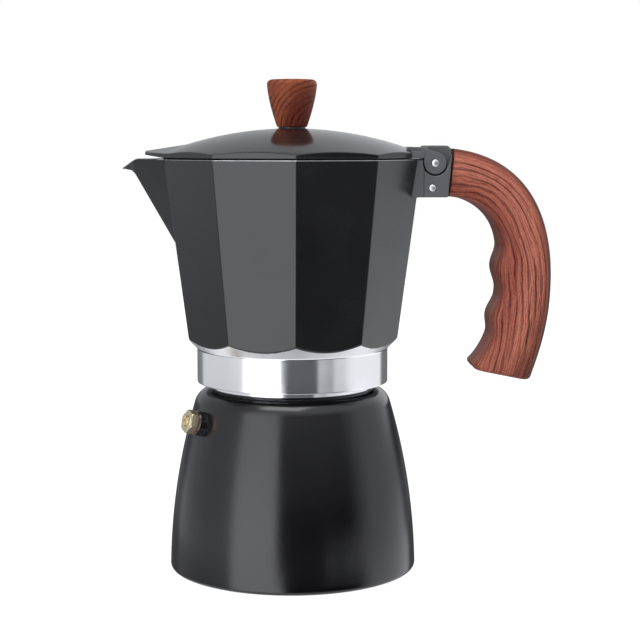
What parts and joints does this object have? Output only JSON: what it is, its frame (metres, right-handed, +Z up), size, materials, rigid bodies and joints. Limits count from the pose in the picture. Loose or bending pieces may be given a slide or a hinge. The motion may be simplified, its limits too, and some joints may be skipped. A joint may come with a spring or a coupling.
{
  "type": "stovetop moka pot",
  "caption": "Stovetop moka pot: round black boiler with safety valve, bright collar, ten-sided grey jug with spout, hinged lid, wood-look knob and curved handle.",
  "frame": {"origin": "centre of the boiler's flat underside", "axes": "+Z up along the pot's axis, spout towards -X, handle towards +X"},
  "size_m": [0.1303, 0.081, 0.15],
  "materials": {
    "black_coating": "satin black coating",
    "grey_coating": "satin dark grey coating, bare bright collar and rim",
    "grey_lid": "gloss dark grey coating",
    "bare_aluminium": "machined",
    "wood_look": "wood-grain print on moulded resin",
    "brass": "turned",
    "copper": "stamped",
    "steel": "bright",
    "rubber_black": "moulded",
    "rubber_white": "moulded"
  },
  "bodies": {
    "base": {"boiler": "black_coating", "valve_washer": "copper", "valve_body": "brass", "valve_spring": "steel"},
    "valve": {"valve_stem": "steel", "valve_seal": "rubber_black", "valve_retainer": "steel"},
    "basket": {"funnel": "bare_aluminium", "funnel_sieve": "bare_aluminium"},
    "seal": {"gasket": "rubber_white"},
    "plate": {"filter_plate": "bare_aluminium"},
    "upper": {"jug": "grey_coating", "hinge_pin": "steel", "handle": "wood_look", "handle_rivet": "steel"},
    "cover": {"lid": "grey_lid", "knob": "wood_look", "knob_insert": "brass", "knob_screw": "steel", "knob_washer": "bare_aluminium"}
  },
  "joints": [
    {"name": "valve_slide", "type": "slide", "parent": "base", "child": "valve", "axis": [-0.8526, -0.4534, 0.2597], "range_m": [0, 0.0008], "stiffness_N_per_m": 4000, "springref_m": -0.0005, "deforming": ["valve_spring"]},
    {"name": "funnel_lift", "type": "slide", "parent": "base", "child": "basket", "axis": [0, 0, 1], "range_m": [0, 0.07]},
    {"name": "jug_turn", "type": "hinge", "parent": "basket", "child": "seal", "pos_m": [0, 0, 0.066], "axis": [0, 0, 1], "range_deg": [0, 540]},
    {"name": "jug_rise", "type": "slide", "parent": "seal", "child": "plate", "axis": [0, 0, 1], "range_m": [0, 0.00375]},
    {"name": "jug_lift", "type": "slide", "parent": "plate", "child": "upper", "axis": [0, 0, 1], "range_m": [0, 0.03]},
    {"name": "lid_hinge", "type": "hinge", "parent": "upper", "child": "cover", "pos_m": [0.0423, 0, 0.1249], "axis": [0, 1, 0], "range_deg": [0, 95]}
  ],
  "couplings": [
    {"joint": "jug_rise", "follows": "jug_turn", "m_per_rad": 0.00039789}
  ]
}
